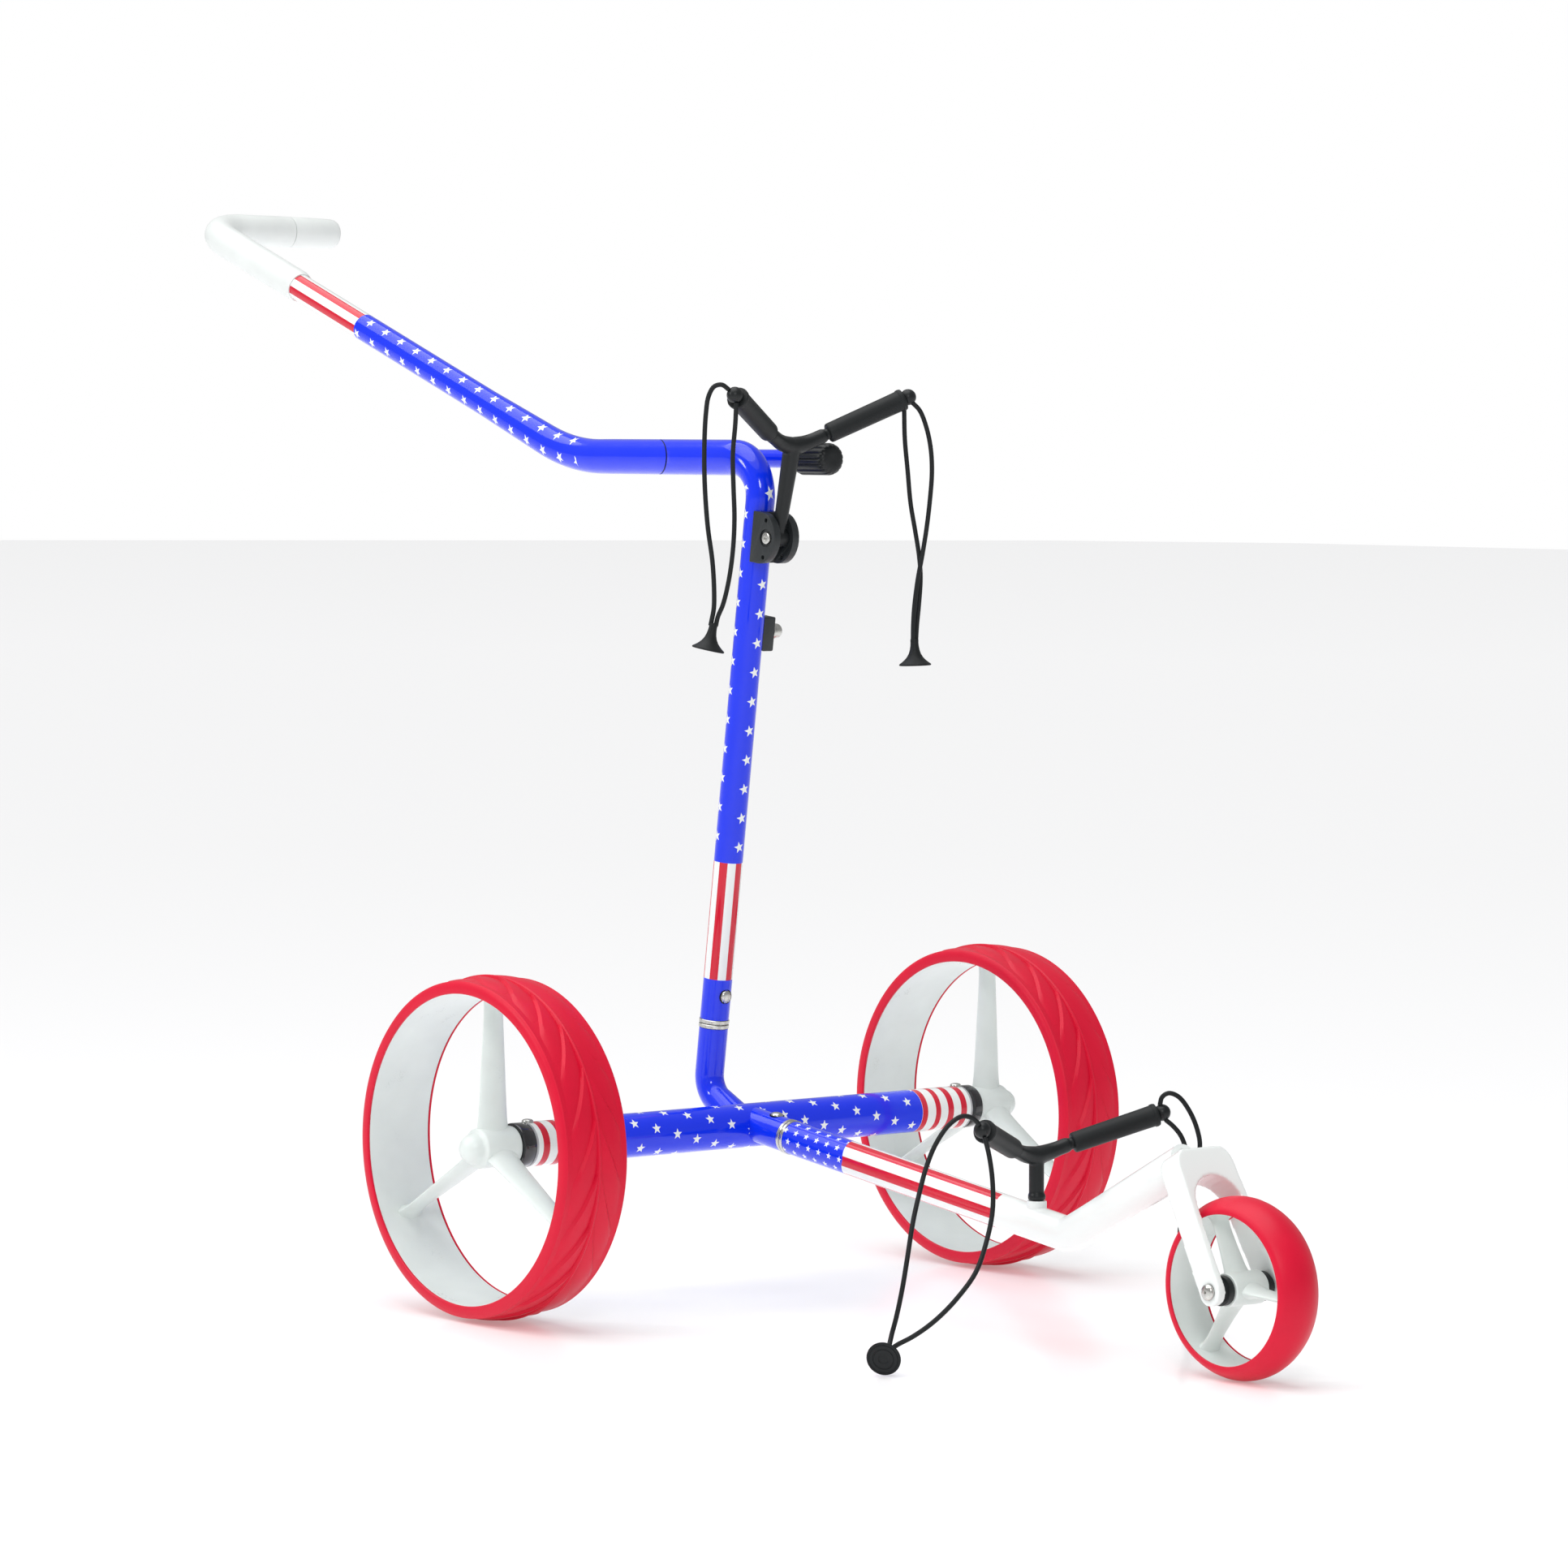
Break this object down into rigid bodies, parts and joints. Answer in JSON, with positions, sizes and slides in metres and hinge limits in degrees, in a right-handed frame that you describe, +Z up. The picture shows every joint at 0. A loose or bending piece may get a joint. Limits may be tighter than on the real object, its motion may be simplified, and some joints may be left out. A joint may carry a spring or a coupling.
{
  "type": "golf push trolley",
  "caption": "Tube-framed golf push trolley with wide rear wheels, a small front wheel in a fork, folding and lift-out bag rests and a cranked one-sided push handle.",
  "frame": {"origin": "on the floor, at the bottom centre of the bounding box of everything but the elastic cords and their cones", "axes": "+Z up; the trolley rolls forwards along -Y; its own right side is -X"},
  "size_m": [0.627, 1.5254, 0.9572],
  "materials": {
    "blue_coat": "high-gloss blue coat with a white star and red-and-white stripe film",
    "white_coat": "gloss white coat",
    "white_plastic": "satin-gloss moulded white",
    "white_grip": "smooth soft white",
    "red_tread": "matt red rubber with raised leaf ribs",
    "black_gloss": "polished black",
    "black_plastic": "fine-grained black",
    "black_rubber": "matt black rubber",
    "bright_steel": "turned stainless steel",
    "dark_steel": "ground steel"
  },
  "bodies": {
    "frame": {"axle_tube": "blue_coat", "end_ring_right": "black_gloss", "end_ring_left": "black_gloss", "upright_plug": "bright_steel", "upright_collar": "bright_steel", "upright_tube": "blue_coat", "handle_gasket": "black_rubber", "clamp_arm": "blue_coat", "clevis_block": "black_plastic", "pivot_bolt": "bright_steel", "catch_block": "black_plastic", "catch_stud": "bright_steel", "arm_plug": "bright_steel", "arm_collar": "bright_steel", "front_arm": "white_coat", "front_axle": "dark_steel", "axle_screw_right": "bright_steel", "axle_screw_left": "bright_steel", "front_spacer_right": "black_plastic", "front_spacer_left": "black_plastic"},
    "wheel_axle_right": {"axle_shaft_right": "dark_steel"},
    "wheel_right": {"rear_rim_right": "white_plastic", "rear_tyre_right": "red_tread", "rear_bearing_right": "bright_steel"},
    "wheel_axle_left": {"axle_shaft_left": "dark_steel"},
    "wheel_left": {"rear_rim_left": "white_plastic", "rear_tyre_left": "red_tread", "rear_bearing_left": "bright_steel"},
    "release_right": {"release_stud_right": "bright_steel"},
    "release_left": {"release_stud_left": "bright_steel"},
    "upright_button": {"upright_snap_button": "bright_steel"},
    "arm_button": {"arm_snap_button": "bright_steel"},
    "handle": {"handle_tube": "blue_coat", "handle_plug": "bright_steel", "grip_sleeve": "white_grip", "grip_cap": "white_grip"},
    "knob": {"clamp_knob": "black_plastic"},
    "upper_rest": {"upper_yoke": "black_plastic", "upper_yoke_barrel": "bright_steel", "upper_sleeve_right": "black_rubber", "upper_sleeve_left": "black_rubber", "cord_upper_right_outer": "black_rubber", "cord_upper_right_inner": "black_rubber", "cone_upper_right": "black_rubber", "cord_upper_left_outer": "black_rubber", "cord_upper_left_inner": "black_rubber", "cone_upper_left": "black_rubber"},
    "front_wheel": {"front_rim": "white_plastic", "front_tyre": "red_tread", "front_bearing": "bright_steel"},
    "lower_rest": {"lower_yoke": "black_plastic", "lower_sleeve_right": "black_rubber", "lower_sleeve_left": "black_rubber", "cord_lower_right_outer": "black_rubber", "cord_lower_right_inner": "black_rubber", "cone_lower_right": "black_rubber", "cord_lower_left_outer": "black_rubber", "cord_lower_left_inner": "black_rubber", "cone_lower_left": "black_rubber"}
  },
  "joints": [
    {"name": "wheel_pull_right", "type": "slide", "parent": "frame", "child": "wheel_axle_right", "axis": [-1, 0, 0], "range_m": [0, 0.06]},
    {"name": "wheel_spin_right", "type": "hinge", "parent": "wheel_axle_right", "child": "wheel_right", "pos_m": [-0.28, -0.08507, 0.145], "axis": [-1, 0, 0], "continuous": true},
    {"name": "wheel_pull_left", "type": "slide", "parent": "frame", "child": "wheel_axle_left", "axis": [1, 0, 0], "range_m": [0, 0.06]},
    {"name": "wheel_spin_left", "type": "hinge", "parent": "wheel_axle_left", "child": "wheel_left", "pos_m": [0.28, -0.08507, 0.145], "axis": [1, 0, 0], "continuous": true},
    {"name": "release_press_right", "type": "slide", "parent": "frame", "child": "release_right", "axis": [0, 0, -1], "range_m": [0, 0.002], "stiffness_N_per_m": 600, "springref_m": -0.002},
    {"name": "release_press_left", "type": "slide", "parent": "frame", "child": "release_left", "axis": [0, 0, -1], "range_m": [0, 0.002], "stiffness_N_per_m": 600, "springref_m": -0.002},
    {"name": "upright_button_press", "type": "slide", "parent": "frame", "child": "upright_button", "axis": [0, 0.9928, 0.1196], "range_m": [0, 0.004], "stiffness_N_per_m": 500, "springref_m": -0.003},
    {"name": "arm_button_press", "type": "slide", "parent": "frame", "child": "arm_button", "axis": [0, 0.1314, -0.9913], "range_m": [0, 0.004], "stiffness_N_per_m": 500, "springref_m": -0.003},
    {"name": "handle_pull", "type": "slide", "parent": "frame", "child": "handle", "axis": [0, 1, 0], "range_m": [0, 0.045]},
    {"name": "knob_turn", "type": "hinge", "parent": "frame", "child": "knob", "pos_m": [0.044, -0.11507, 0.7234], "axis": [0, -1, 0], "continuous": true},
    {"name": "upper_rest_fold", "type": "hinge", "parent": "frame", "child": "upper_rest", "pos_m": [0, -0.11662, 0.655], "axis": [1, 0, 0], "range_deg": [0, 150]},
    {"name": "front_wheel_spin", "type": "hinge", "parent": "frame", "child": "front_wheel", "pos_m": [0, -0.68957, 0.07315], "axis": [-1, 0, 0], "continuous": true},
    {"name": "lower_rest_lift", "type": "slide", "parent": "frame", "child": "lower_rest", "axis": [0, 0, 1], "range_m": [0, 0.022]}
  ]
}
